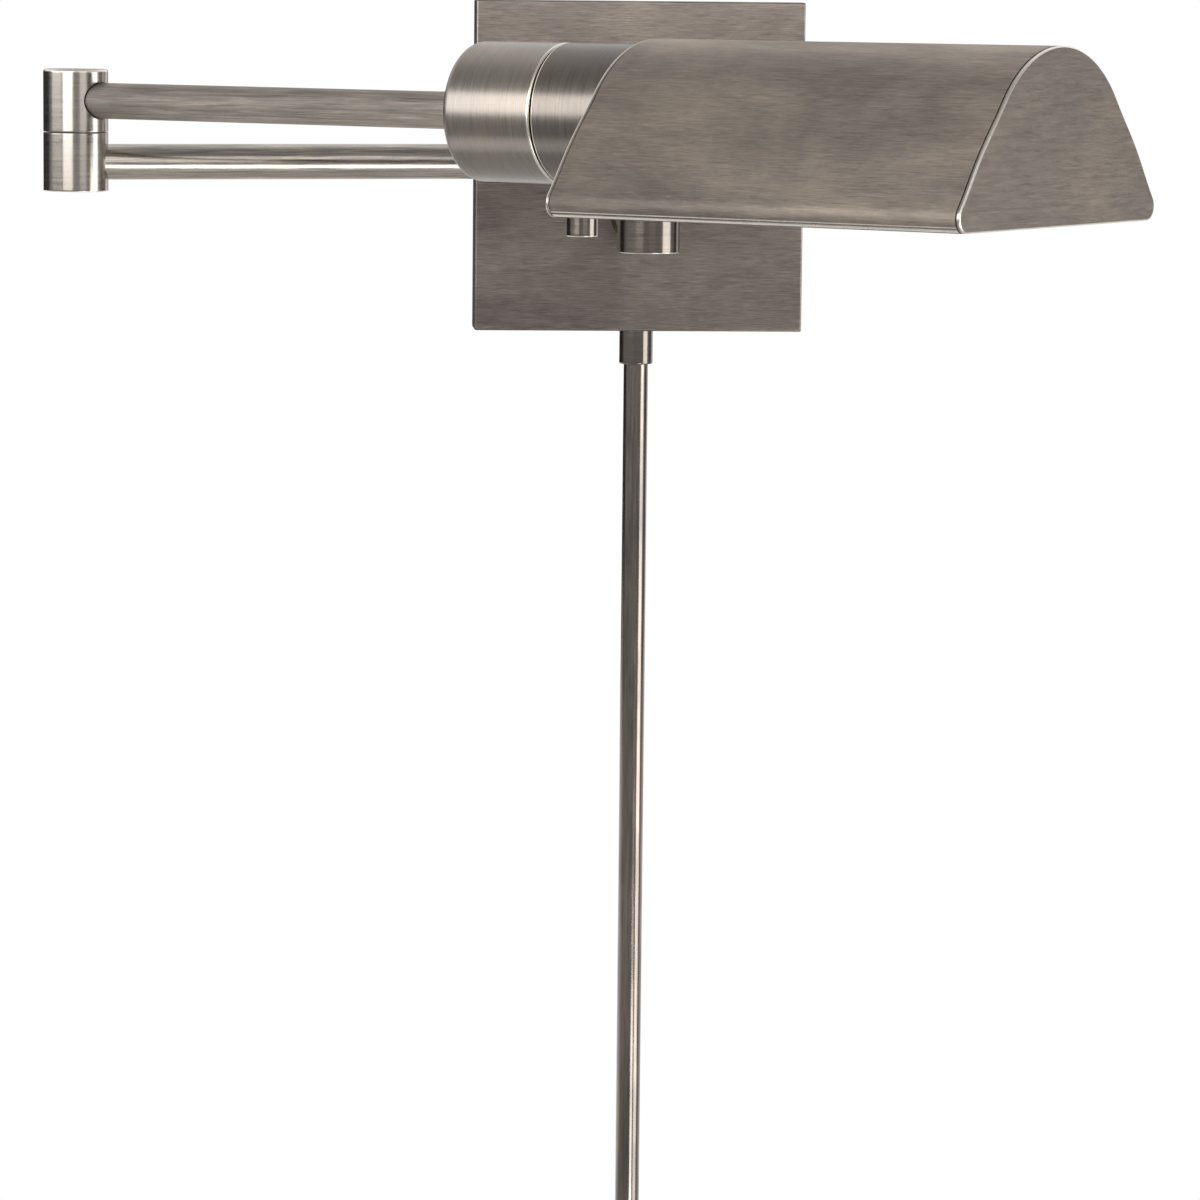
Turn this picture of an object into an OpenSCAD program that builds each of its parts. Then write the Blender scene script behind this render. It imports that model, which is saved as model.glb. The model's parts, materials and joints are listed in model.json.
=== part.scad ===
// Swing arm wall light: canopy, two stacked arms, turning lamp head and a cord cover tube.
// The origin is the centre of the back of the canopy on the wall, +X right, +Y into the wall, +Z up.

/* [Canopy] */
// Side of the square canopy
canopy_side = 114.3; // [95:0.1:150]
// Depth of the canopy from the wall to its face
canopy_depth = 18; // [16:0.5:30]
// Sheet thickness of the canopy
canopy_wall = 1.2; // [0.8:0.1:2]
// Rounding of the canopy's outer edges
canopy_edge = 1.6; // [0.5:0.1:2.5]

/* [Wall bracket] */
// Height of the crossbar
crossbar_h = 18; // [14:1:20]
// Thickness of the crossbar
crossbar_t = 2; // [1.5:0.5:3]
// Depth of the bent ears at the ends of the crossbar
ear_depth = 13; // [12:0.5:14]
// Distance between the centres of the two wall screw slots
slot_spacing = 88.9; // [60:0.1:90]
// End to end length of a wall screw slot
slot_length = 14; // [8:0.5:16]
// Width of a wall screw slot
slot_width = 4.6; // [3.5:0.1:6]
// Diameter of the canopy screws
canopy_screw_d = 3; // [2:0.1:4]
// Diameter of the earth screw
ground_screw_d = 4; // [3:0.1:5]

/* [Stem] */
// Distance from the canopy's face to the axis of the wall hub
hub_reach = 41; // [32:1:80]
// Diameter of the stem tube
stem_d = 11.7; // [10:0.1:12]
// Wall of the stem tube
stem_wall = 1.4; // [1:0.1:2]
// Diameter of the collar on the stem
collar_d = 20; // [16:0.5:24]
// Length of the collar on the stem
collar_h = 4; // [2:0.5:8]

/* [Knuckles] */
// Diameter of the hub and elbow knuckles
knuckle_d = 21.2; // [20.5:0.1:26]
// Height of the fixed half of the hub
base_h = 20.8; // [18:0.1:26]
// Height of the two knuckles of the inner arm
inner_h = 19; // [18:0.1:26]
// Height of the knuckle of the outer arm
outer_h = 20.2; // [18:0.1:26]
// Gap between the two halves of a knuckle pair
knuckle_gap = 0.6; // [0.4:0.1:1.5]
// Height of the inner arm's axis above the canopy's centre
inner_arm_z = 3.4; // [0:0.1:6]
// Diameter of the hollow pivot pins
pin_d = 8.2; // [7.6:0.1:8.8]
// Bore of the hollow pivot pins
pin_bore = 5.4; // [4:0.1:5.8]

/* [Arms] */
// Diameter of the arm tubes
arm_d = 11.7; // [10:0.1:12]
// Wall of the arm tubes
arm_wall = 1.2; // [0.8:0.1:2]
// Distance from the hub's axis to the elbow's axis
inner_arm_len = 197; // [180:1:260]
// Distance from the elbow's axis to the seam between the two housings
outer_arm_len = 194.5; // [180:0.5:260]
// Angle of the inner arm from the wall
inner_angle = 12.5; // [8:0.5:20]
// Angle of the outer arm from the wall
outer_angle = 37.5; // [30:0.5:50]

/* [Lamp head] */
// Diameter of the two housings
housing_d = 43.4; // [42:0.1:46]
// Sheet thickness of the housings
housing_wall = 1.5; // [1:0.1:2]
// Length of the rear housing
rear_len = 32.5; // [30:0.1:45]
// Radius of the rear housing's rounded end
rear_edge = 2.5; // [2.2:0.1:14]
// Gap between the two housings
roll_gap = 1; // [0.6:0.1:2]
// Length of the front housing up to the shade
front_len = 31; // [30:0.5:45]
// Step from the housings' side in to the spigot that holds the shade
spigot_step = 3.7; // [3.4:0.1:3.9]
// Length of the spigot inside the shade
spigot_len = 9; // [7:0.5:14]

/* [Shade] */
// Length of the shade with its end plates
shade_len = 140; // [130:1:180]
// Width of the shade at its open side
shade_w = 118; // [105:1:140]
// Height of the shade's ridge above the head's axis
shade_rise = 23.4; // [23:0.1:32]
// Depth of the shade's lip below the head's axis
shade_drop = 28.8; // [25:0.1:36]
// Radius of the shade's rounded top
shade_top_r = 44; // [36:0.5:48]
// Outer radius of the bend along the shade's lip
shade_lip_r = 4.3; // [3:0.1:5]
// Width of the flat return inside the lip
shade_lip_w = 2.5; // [1:0.1:5]
// Sheet thickness of the shade
shade_t = 1; // [0.8:0.1:1.2]
// Thickness of the shade's end plates
end_t = 1.2; // [0.8:0.1:2]

/* [Lampholder and bulb] */
// Diameter of the lampholder's body
socket_d = 33; // [32.6:0.1:34]
// Length of the lampholder that reaches past the shade's inner end
socket_reach = 22; // [16:1:26]
// Diameter inside the lampholder's screw shell
shell_d = 26.4; // [26.2:0.1:26.8]
// Length of the lampholder's screw shell
shell_len = 24; // [20:1:26]
// Diameter of the tubular bulb
bulb_d = 30; // [28:0.5:32]
// Length of the bulb's glass
bulb_len = 92; // [60:1:95]

/* [Switch] */
// Distance of the switch from the front housing's edge
switch_inset = 5; // [4.8:0.1:9]
// Diameter of the switch knob
knob_d = 9.6; // [8:0.1:12]
// Length of the switch knob
knob_len = 15; // [10:0.5:20]
// Diameter of the switch shaft
shaft_d = 3; // [2:0.1:4]

/* [Cord cover] */
// Diameter of the cord cover tube
tube_d = 8.5; // [8:0.1:10]
// Wall of the cord cover tube
tube_wall = 0.8; // [0.6:0.1:1.2]
// Length of the cord cover tube
tube_len = 310; // [200:5:900]
// Diameter of the ferrule under the canopy
ferrule_d = 11.7; // [11.5:0.1:14]
// Length of the ferrule under the canopy
ferrule_len = 12; // [10:0.5:20]
// Bore of the bushing that the cord leaves by
cord_bore = 4.8; // [3:0.1:5.2]

/* [Hidden] */
$fn = 96;

// Clearances
running_fit = 0.05;
seat_fit = 0.03;
turn_clear = 0.1;
screw_clear = 0.2;
flush_gap = 0.3;

// Small fixed details
edge = 0.5;
cap_d = 16;
cap_t = 1.2;
head_h = 2;
nut_h = 2.6;
well_d = 12.4;
tube_start = 7;
wire_hole_d = 6;
window_d = 4;
washer_t = 1;
stem_nut_af = 17;
stem_nut_h = 5;
stem_tail = 9;
screw_head_ratio = 2;
screw_head_h = 1.8;
ground_x = 22;
driver_slot_w = 0.8;
driver_slot_depth = 0.8;
screw_tail = 2;
plate_t = 4;
turn_plate_t = 1.6;
nipple_d = 10;
nipple_bore = 7;
nipple_flange_d = 18;
nipple_flange_h = 2.5;
roll_washer_w = 4;
roll_nut_af = 14;
roll_nut_h = 4;
arm_nut_af = 15;
arm_nut_h = 5;
arm_tail = 7;
ring_h = 4;
ring_gap = 1;
front_wall = 2;
flange_t = 3;
socket_back = 12;
socket_screw_d = 1.6;
socket_head_d = 2.1;
socket_head_h = 1;
shell_t = 0.4;
shell_gap = 0.1;
contact_d = 7;
contact_h = 3;
base_clear = 0.2;
base_t = 0.6;
base_step = 2;
base_shoulder = 3;
glass_t = 0.8;
neck_len = 10;
switch_w = 11;
switch_top = 9.5;
bushing_d = 5;
bushing_proud = 0.5;
knob_clear = 0.7;
knob_edge = 0.8;
shaft_depth = 5;
set_screw_d = 2;
set_screw_len = 3;
set_screw_up = 3.5;
tube_insert = 9;
neck_d = 8;
ferrule_nut_af = 11.5;
ferrule_nut_h = 3;
bushing_flange = 2;
bushing_len = 8;

// Colours
nickel = [0.54, 0.50, 0.45];
dark_nickel = [0.40, 0.37, 0.33];
steel = [0.66, 0.66, 0.66];
brass = [0.72, 0.58, 0.30];
ceramic = [0.90, 0.89, 0.85];
plastic = [0.12, 0.12, 0.12];
glass = [0.96, 0.95, 0.90];

// Heights of the stacked knuckles
hub_seam_z = inner_arm_z - inner_h / 2 - knuckle_gap;
elbow_seam_z = inner_arm_z + inner_h / 2;
stem_z = hub_seam_z - base_h / 2;
outer_arm_z = elbow_seam_z + knuckle_gap + outer_h / 2;

// Places of the hub and the elbow
hub_y = -canopy_depth - hub_reach;
elbow_x = -inner_arm_len * cos(inner_angle);
elbow_y = hub_y - inner_arm_len * sin(inner_angle);
rod_y = -canopy_depth / 2;

// Places along the head's axis, measured from the elbow
rear_end = outer_arm_len - roll_gap / 2;
rear_start = rear_end - rear_len;
front_start = outer_arm_len + roll_gap / 2;
front_end = front_start + front_len;
socket_end = front_end + socket_reach;
bulb_start = socket_end + edge;
switch_x = front_start + switch_inset;
housing_inner_r = housing_d / 2 - housing_wall;
spigot_d = housing_d - 2 * spigot_step;

// Depths of the wells for the pin's head and its nut
head_well = cap_t + flush_gap + head_h;
nut_well = cap_t + 3 * flush_gap + nut_h + turn_clear;

// Angle of the shade's sides from the vertical
side_reach = [shade_w / 2 - shade_lip_r, shade_rise + shade_drop - shade_top_r - shade_lip_r];
side_span = norm(side_reach);
side_angle = acos((shade_top_r - shade_lip_r) / side_span) - atan2(side_reach[1], side_reach[0]);

// Frames of the arms and the head

module on_hub() {
    translate([0, hub_y, 0]) children();
}

module on_inner_arm() {
    on_hub() rotate([0, 0, 180 + inner_angle]) children();
}

module on_elbow() {
    translate([elbow_x, elbow_y, 0]) children();
}

module on_outer_arm() {
    on_elbow() rotate([0, 0, -outer_angle]) children();
}

module on_head(x = 0) {
    on_outer_arm() translate([x, 0, outer_arm_z]) rotate([0, 90, 0]) children();
}

module under_head() {
    on_outer_arm() translate([switch_x, 0, outer_arm_z]) children();
}

// Shared shapes

module turned(d, h, bevel = edge) {
    rotate_extrude()
        polygon([
            [0, 0], [d / 2 - bevel, 0], [d / 2, bevel],
            [d / 2, h - bevel], [d / 2 - bevel, h], [0, h]
        ]);
}

module pipe(d_out, d_in, h) {
    difference() {
        cylinder(d = d_out, h = h);
        translate([0, 0, -1]) cylinder(d = d_in, h = h + 2);
    }
}

module hex_nut(across, bore, h) {
    difference() {
        cylinder(d = across / cos(30), h = h, $fn = 6);
        translate([0, 0, -1]) cylinder(d = bore, h = h + 2);
    }
}

module screw(d, length) {
    translate([0, 0, -length]) cylinder(d = d, h = length + edge);
    turned(d * screw_head_ratio, screw_head_h, edge);
}

// Half of a knuckle pair, with its well below and its mating face on top
module knuckle(h, well, tube_d, heading) {
    difference() {
        turned(knuckle_d, h);
        translate([0, 0, -1]) cylinder(d = pin_d + 2 * running_fit, h = h + 2);
        translate([0, 0, -1]) cylinder(d = well_d, h = well + 1);
        translate([0, 0, -1]) cylinder(d = cap_d + 2 * seat_fit, h = cap_t + 1);
        translate([0, 0, h / 2]) rotate([0, 0, heading]) rotate([0, 90, 0]) {
            translate([0, 0, tube_start - edge]) cylinder(d = tube_d + 2 * seat_fit, h = knuckle_d);
            cylinder(d = wire_hole_d, h = knuckle_d);
        }
    }
}

module turning_knuckle(h, heading) {
    translate([0, 0, h]) mirror([0, 0, 1]) knuckle(h, nut_well, arm_d, heading);
}

// Hollow pivot pin with windows for the leads, from the well below to the well above
module pivot_pin(seam_z, lower_h, upper_h) {
    foot = seam_z - lower_h + cap_t + flush_gap;
    top = seam_z + knuckle_gap + upper_h - cap_t - flush_gap;
    lower_window = seam_z - lower_h / 2;
    upper_window = seam_z + knuckle_gap + upper_h / 2;
    difference() {
        union() {
            translate([0, 0, foot]) cylinder(d = pin_d, h = top - foot);
            translate([0, 0, foot]) cylinder(d = well_d - 2 * screw_clear, h = head_h);
        }
        translate([0, 0, foot - 1]) cylinder(d = pin_bore, h = top - foot + 2);
        for (z = [lower_window, upper_window])
            translate([0, 0, z]) rotate([0, 90, 0]) cylinder(d = window_d, h = pin_d, center = true);
    }
}

module friction_washer(seam_z) {
    translate([0, 0, seam_z])
        pipe(knuckle_d - 4 * edge, pin_d + 2 * screw_clear, knuckle_gap - turn_clear);
}

module pin_nut(seam_z, upper_h) {
    translate([0, 0, seam_z + knuckle_gap + upper_h - nut_well + turn_clear])
        hex_nut((well_d - 2 * flush_gap) * cos(30), pin_d + 2 * seat_fit, nut_h);
}

module cap() {
    cylinder(d = cap_d, h = cap_t);
}

// Outline of the shade's section, inset by the sheet thickness, from the left lip to the right lip
function arc(centre, r, from, to, steps) =
    [for (i = [0:steps]) let (a = from + (to - from) * i / steps) centre + r * [cos(a), sin(a)]];

function shade_side(sign, inset) =
    let (corner = [shade_w / 2 - shade_lip_r, shade_lip_r - shade_drop])
    [for (p = arc(corner, shade_lip_r - inset, -90, side_angle, 10)) [sign * p[0], p[1]]];

function reversed(points) = [for (i = [len(points) - 1:-1:0]) points[i]];

function shade_outline(inset) = concat(
    shade_side(-1, inset),
    arc([0, shade_rise - shade_top_r], shade_top_r - inset, 180 - side_angle, side_angle, 40),
    reversed(shade_side(1, inset))
);

// Shade section with its lips, drawn as one closed sheet
module shade_section() {
    lip_x = shade_w / 2 - shade_lip_r - shade_lip_w;
    left_lip = [-lip_x, -shade_drop];
    right_lip = [lip_x, -shade_drop];
    polygon(concat(
        [left_lip], shade_outline(0), [right_lip],
        [right_lip + [0, shade_t]], reversed(shade_outline(shade_t)), [left_lip + [0, shade_t]]
    ));
}

// Extrudes a section of the shade along the head's axis
module along_shade(x, length) {
    on_outer_arm() translate([x, 0, outer_arm_z]) rotate([90, 0, 90])
        linear_extrude(height = length) children();
}

// Wall mount

module canopy() {
    half = canopy_side / 2;
    corner = half - canopy_edge;
    inner = canopy_side - 2 * canopy_wall;
    color(nickel)
    difference() {
        hull() {
            for (x = [-corner, corner], z = [-corner, corner]) {
                translate([x, 0, z]) rotate([90, 0, 0])
                    cylinder(r = canopy_edge, h = canopy_depth - canopy_edge, $fn = 24);
                translate([x, canopy_edge - canopy_depth, z]) sphere(r = canopy_edge, $fn = 24);
            }
        }
        translate([-inner / 2, canopy_wall - canopy_depth, -inner / 2]) cube([inner, canopy_depth, inner]);
        translate([0, 0, stem_z]) rotate([90, 0, 0])
            cylinder(d = stem_d + 2 * screw_clear, h = canopy_depth + 1);
        translate([0, rod_y, -half - 1]) cylinder(d = neck_d + 2 * screw_clear, h = canopy_wall + 2);
        translate([-half - 1, rod_y, 0]) rotate([0, 90, 0])
            cylinder(d = canopy_screw_d + 2 * screw_clear, h = canopy_side + 2);
    }
}

module crossbar() {
    span = canopy_side - 2 * canopy_wall - 2 * screw_clear;
    straight = slot_length - slot_width;
    color(steel)
    difference() {
        union() {
            translate([-span / 2, -crossbar_t, -crossbar_h / 2]) cube([span, crossbar_t, crossbar_h]);
            for (x = [-span / 2, span / 2 - crossbar_t])
                translate([x, -ear_depth, -crossbar_h / 2]) cube([crossbar_t, ear_depth, crossbar_h]);
        }
        for (side = [-1, 1]) translate([side * slot_spacing / 2, 0, 0]) {
            for (end = [-1, 1]) translate([end * straight / 2, 1, 0]) rotate([90, 0, 0])
                cylinder(d = slot_width, h = crossbar_t + 2);
            translate([-straight / 2, -crossbar_t - 1, -slot_width / 2])
                cube([straight, crossbar_t + 2, slot_width]);
        }
        translate([-span, rod_y, 0]) rotate([0, 90, 0])
            cylinder(d = canopy_screw_d + 2 * seat_fit, h = 2 * span);
        translate([ground_x, 1, 0]) rotate([90, 0, 0])
            cylinder(d = ground_screw_d + 2 * seat_fit, h = crossbar_t + 2);
    }
}

module canopy_screws() {
    reach = canopy_wall + screw_clear + crossbar_t + screw_tail;
    color(nickel)
    for (side = [-1, 1])
        translate([side * canopy_side / 2, rod_y, 0]) rotate([0, side * 90, 0]) screw(canopy_screw_d, reach);
}

module ground_screw() {
    color(brass)
    difference() {
        translate([ground_x, -crossbar_t, 0]) rotate([90, 0, 0]) screw(ground_screw_d, crossbar_t);
        translate([ground_x, -crossbar_t - screw_head_h, 0])
            cube([canopy_side, 2 * driver_slot_depth, driver_slot_w], center = true);
    }
}

module stem() {
    length = hub_reach - tube_start + stem_tail;
    color(nickel)
    on_hub() translate([0, tube_start, stem_z]) rotate([-90, 0, 0])
        pipe(stem_d, stem_d - 2 * stem_wall, length);
}

module stem_collar() {
    color(nickel)
    translate([0, -canopy_depth, stem_z]) rotate([90, 0, 0])
    difference() {
        turned(collar_d, collar_h);
        translate([0, 0, -1]) cylinder(d = stem_d + 2 * seat_fit, h = collar_h + 2);
    }
}

module stem_washer() {
    color(steel)
    translate([0, canopy_wall - canopy_depth, stem_z]) rotate([-90, 0, 0])
        pipe(collar_d, stem_d + 2 * screw_clear, washer_t);
}

module stem_nut() {
    color(brass)
    translate([0, canopy_wall - canopy_depth + washer_t, stem_z]) rotate([-90, 0, 0])
        hex_nut(stem_nut_af, stem_d + 2 * seat_fit, stem_nut_h);
}

module hub_base() {
    color(nickel)
    on_hub() translate([0, 0, hub_seam_z - base_h]) knuckle(base_h, head_well, stem_d, 90);
}

module hub_bottom_cap() {
    color(dark_nickel)
    on_hub() translate([0, 0, hub_seam_z - base_h]) cap();
}

module hub_pin() {
    color(brass)
    on_hub() pivot_pin(hub_seam_z, base_h, inner_h);
}

module hub_washer() {
    color(plastic)
    on_hub() friction_washer(hub_seam_z);
}

module hub_pin_nut() {
    color(brass)
    on_hub() pin_nut(hub_seam_z, inner_h);
}

module rod_ferrule() {
    foot = -canopy_side / 2 - ferrule_len;
    neck = canopy_wall + ferrule_nut_h + edge;
    color(nickel)
    translate([0, rod_y, foot])
    difference() {
        union() {
            turned(ferrule_d, ferrule_len);
            translate([0, 0, ferrule_len - edge]) cylinder(d = neck_d, h = neck + edge);
        }
        translate([0, 0, -1]) cylinder(d = tube_d + 2 * seat_fit, h = tube_insert + 1);
        translate([0, 0, -1]) cylinder(d = cord_bore, h = ferrule_len + neck + 2);
    }
}

module ferrule_nut() {
    color(brass)
    translate([0, rod_y, canopy_wall - canopy_side / 2])
        hex_nut(ferrule_nut_af, neck_d + 2 * seat_fit, ferrule_nut_h);
}

module cord_cover_tube() {
    top = -canopy_side / 2 - ferrule_len + tube_insert;
    color(nickel)
    translate([0, rod_y, top - tube_len]) pipe(tube_d, tube_d - 2 * tube_wall, tube_len);
}

module end_bushing() {
    foot = -canopy_side / 2 - ferrule_len + tube_insert - tube_len - bushing_flange;
    color(plastic)
    translate([0, rod_y, foot])
    difference() {
        union() {
            turned(tube_d, bushing_flange);
            cylinder(d = tube_d - 2 * tube_wall - 2 * seat_fit, h = bushing_len);
        }
        translate([0, 0, -1]) cylinder(d = cord_bore, h = bushing_len + 2);
    }
}

// Inner arm

module hub_knuckle() {
    color(nickel)
    on_hub() translate([0, 0, hub_seam_z + knuckle_gap]) turning_knuckle(inner_h, 180 + inner_angle);
}

module hub_top_cap() {
    color(dark_nickel)
    on_hub() translate([0, 0, hub_seam_z + knuckle_gap + inner_h - cap_t]) cap();
}

module inner_arm_tube() {
    color(nickel)
    on_inner_arm() translate([tube_start, 0, inner_arm_z]) rotate([0, 90, 0])
        pipe(arm_d, arm_d - 2 * arm_wall, inner_arm_len - 2 * tube_start);
}

module elbow_lower() {
    color(nickel)
    on_elbow() translate([0, 0, elbow_seam_z - inner_h]) knuckle(inner_h, head_well, arm_d, inner_angle);
}

module elbow_bottom_cap() {
    color(dark_nickel)
    on_elbow() translate([0, 0, elbow_seam_z - inner_h]) cap();
}

module elbow_pin() {
    color(brass)
    on_elbow() pivot_pin(elbow_seam_z, inner_h, outer_h);
}

module elbow_washer() {
    color(plastic)
    on_elbow() friction_washer(elbow_seam_z);
}

module elbow_pin_nut() {
    color(brass)
    on_elbow() pin_nut(elbow_seam_z, outer_h);
}

// Outer arm

module elbow_upper() {
    color(nickel)
    on_elbow() translate([0, 0, elbow_seam_z + knuckle_gap]) turning_knuckle(outer_h, -outer_angle);
}

module elbow_top_cap() {
    color(dark_nickel)
    on_elbow() translate([0, 0, elbow_seam_z + knuckle_gap + outer_h - cap_t]) cap();
}

module outer_arm_tube() {
    length = rear_start + housing_wall + arm_tail - tube_start;
    color(nickel)
    on_head(tube_start) pipe(arm_d, arm_d - 2 * arm_wall, length);
}

module arm_nut() {
    color(brass)
    on_head(rear_start + housing_wall) hex_nut(arm_nut_af, arm_d + 2 * seat_fit, arm_nut_h);
}

module rear_housing() {
    r = housing_d / 2;
    outer = arc([r - rear_edge, rear_edge], rear_edge, -90, 0, 16);
    inner = arc([r - rear_edge, rear_edge], rear_edge - housing_wall, -90, 0, 16);
    hole_r = arm_d / 2 + seat_fit;
    color(nickel)
    on_head(rear_start) rotate_extrude()
        polygon(concat(
            [[hole_r, 0]], outer, [[r, rear_len], [housing_inner_r, rear_len]],
            reversed(inner), [[hole_r, housing_wall]]
        ));
}

module bearing_plate() {
    color(steel)
    on_head(rear_end - plate_t) pipe(2 * housing_inner_r - 2 * seat_fit, nipple_d + 2 * seat_fit, plate_t);
}

module roll_nipple() {
    tail = turn_plate_t + roll_gap + turn_clear + roll_nut_h + edge;
    color(brass)
    on_head(rear_end - plate_t - nipple_flange_h)
    difference() {
        union() {
            cylinder(d = nipple_flange_d, h = nipple_flange_h);
            cylinder(d = nipple_d, h = nipple_flange_h + plate_t + tail);
        }
        translate([0, 0, -1]) cylinder(d = nipple_bore, h = nipple_flange_h + plate_t + tail + 2);
    }
}

module roll_washer() {
    color(dark_nickel)
    on_head(rear_end) pipe(2 * housing_inner_r, 2 * (housing_inner_r - roll_washer_w), roll_gap - turn_clear);
}

module roll_nut() {
    color(brass)
    on_head(front_start + turn_plate_t + turn_clear)
        hex_nut(roll_nut_af, nipple_d + 2 * seat_fit, roll_nut_h);
}

// Lamp head

module front_housing() {
    color(nickel)
    difference() {
        union() {
            on_head(front_start) cylinder(d = housing_d, h = front_len);
            on_head(front_end - edge) cylinder(d = spigot_d, h = spigot_len + edge);
        }
        on_head(front_start - 1) cylinder(r = housing_inner_r, h = front_len - front_wall + 1);
        on_head(front_start) cylinder(d = socket_d + 2 * screw_clear, h = front_len + spigot_len + 1);
        for (side = [-1, 1]) on_head(front_end - front_wall - 1) translate([0, side * socket_screw_r(), 0])
            cylinder(d = socket_screw_d + 2 * seat_fit, h = front_wall + 2);
        under_head() translate([0, 0, -housing_d]) cylinder(d = bushing_d + 2 * screw_clear, h = housing_d);
    }
}

function socket_screw_r() = (spigot_d + socket_screw_d) / 2;

module turn_plate() {
    color(steel)
    on_head(front_start) pipe(2 * housing_inner_r - 2 * seat_fit, nipple_d + 2 * running_fit, turn_plate_t);
}

module shade_body() {
    color(nickel)
    along_shade(front_end + end_t, shade_len - 2 * end_t) shade_section();
}

module shade_inner_end() {
    color(nickel)
    along_shade(front_end, end_t)
    difference() {
        polygon(shade_outline(0));
        circle(d = spigot_d + 2 * seat_fit);
    }
}

module shade_outer_end() {
    color(nickel)
    along_shade(front_end + shade_len - end_t, end_t) polygon(shade_outline(0));
}

module shade_ring() {
    color(dark_nickel)
    on_head(front_end + end_t) pipe(2 * (shade_rise - shade_t - ring_gap), spigot_d + 2 * seat_fit, ring_h);
}

module socket_body() {
    start = front_end - front_wall - socket_back;
    color(ceramic)
    difference() {
        union() {
            on_head(start) cylinder(d = socket_d, h = socket_end - start);
            on_head(front_end - front_wall - flange_t) cylinder(r = housing_inner_r - seat_fit, h = flange_t);
        }
        on_head(socket_end - shell_len - contact_h)
            cylinder(d = shell_outer_d() + 2 * shell_gap, h = shell_len * 2);
        for (side = [-1, 1]) on_head(front_end - front_wall - flange_t - 1)
            translate([0, side * socket_screw_r(), 0])
            cylinder(d = socket_screw_d + 2 * screw_clear, h = flange_t + 2);
    }
}

function shell_outer_d() = shell_d + 2 * shell_t;

module socket_shell() {
    color(brass)
    on_head(socket_end - shell_len) pipe(shell_outer_d(), shell_d, shell_len - edge);
}

module socket_contact() {
    color(brass)
    on_head(socket_end - shell_len - contact_h) cylinder(d = contact_d, h = contact_h);
}

module socket_screws() {
    color(steel)
    for (side = [-1, 1]) on_head(front_end - front_wall - flange_t)
        translate([0, side * socket_screw_r(), 0]) mirror([0, 0, 1]) {
            translate([0, 0, -flange_t - front_wall]) cylinder(d = socket_screw_d, h = flange_t + front_wall);
            cylinder(d = socket_head_d, h = socket_head_h);
        }
}

module bulb_base() {
    r = shell_d / 2 - base_clear;
    tip = contact_d / 2;
    foot = base_shoulder + base_step;
    top = shell_len + edge;
    color(brass)
    on_head(socket_end - shell_len) rotate_extrude()
        polygon([
            [0, 0], [tip, 0], [tip, edge], [r - base_step, base_shoulder], [r, foot], [r, top],
            [r - base_t, top], [r - base_t, foot + base_t],
            [r - base_step - base_t, base_shoulder + base_t], [0, edge + base_t]
        ]);
}

function bulb_profile(inset) =
    let (r = bulb_d / 2 - inset, neck_r = shell_d / 2 - base_clear - inset)
    concat([[neck_r, 0], [neck_r, edge], [r, neck_len]], arc([0, bulb_len - bulb_d / 2], r, 0, 90, 12));

module bulb_glass() {
    color(glass)
    on_head(bulb_start) rotate_extrude()
        polygon(concat(bulb_profile(0), reversed(bulb_profile(glass_t))));
}

module switch_body() {
    low = sqrt(pow(housing_inner_r, 2) - pow(switch_w / 2, 2)) - flush_gap;
    length = 2 * (switch_inset - turn_plate_t - flush_gap);
    color(plastic)
    under_head()
    difference() {
        union() {
            translate([-length / 2, -switch_w / 2, -low]) cube([length, switch_w, low - switch_top]);
            translate([0, 0, -housing_d / 2 - bushing_proud])
                cylinder(d = bushing_d, h = housing_d / 2 + bushing_proud - low + edge);
        }
        translate([0, 0, -housing_d])
            cylinder(d = shaft_d + 2 * running_fit, h = housing_d - low + shaft_depth);
    }
}

// Switch knob

module switch_shaft() {
    low = sqrt(pow(housing_inner_r, 2) - pow(switch_w / 2, 2)) - flush_gap;
    foot = housing_d / 2 + knob_clear + knob_len - 3 * knob_edge;
    color(brass)
    under_head() translate([0, 0, -foot]) cylinder(d = shaft_d, h = foot - low + shaft_depth - flush_gap);
}

module switch_knob() {
    r = knob_d / 2;
    tip = housing_d / 2 + knob_clear + knob_len;
    color(dark_nickel)
    under_head() translate([0, 0, -tip])
    difference() {
        rotate_extrude()
            polygon(concat(
                [[0, 0]], arc([r - knob_edge, knob_edge], knob_edge, -90, 0, 6),
                [[r, knob_len - edge / 2], [r - edge / 2, knob_len], [0, knob_len]]
            ));
        translate([0, 0, 3 * knob_edge]) cylinder(d = shaft_d + 2 * seat_fit, h = knob_len);
        translate([0, 0, set_screw_up]) rotate([-90, 0, 0])
            cylinder(d = set_screw_d + 2 * seat_fit, h = knob_d);
    }
}

module knob_set_screw() {
    tip = housing_d / 2 + knob_clear + knob_len;
    color(steel)
    under_head() translate([0, shaft_d / 2 + seat_fit, set_screw_up - tip]) rotate([-90, 0, 0])
        cylinder(d = set_screw_d, h = min(set_screw_len, knob_d / 2 - shaft_d / 2 - flush_gap));
}

canopy();
crossbar();
canopy_screws();
ground_screw();
stem();
stem_collar();
stem_washer();
stem_nut();
hub_base();
hub_bottom_cap();
hub_pin();
hub_washer();
hub_pin_nut();
rod_ferrule();
ferrule_nut();
cord_cover_tube();
end_bushing();
hub_knuckle();
hub_top_cap();
inner_arm_tube();
elbow_lower();
elbow_bottom_cap();
elbow_pin();
elbow_washer();
elbow_pin_nut();
elbow_upper();
elbow_top_cap();
outer_arm_tube();
arm_nut();
rear_housing();
bearing_plate();
roll_nipple();
roll_washer();
roll_nut();
front_housing();
turn_plate();
shade_body();
shade_inner_end();
shade_outer_end();
shade_ring();
socket_body();
socket_shell();
socket_contact();
socket_screws();
bulb_base();
bulb_glass();
switch_body();
switch_knob();
switch_shaft();
knob_set_screw();
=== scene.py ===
import json
import math

import bmesh
import bpy
from mathutils import Matrix, Vector

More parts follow.
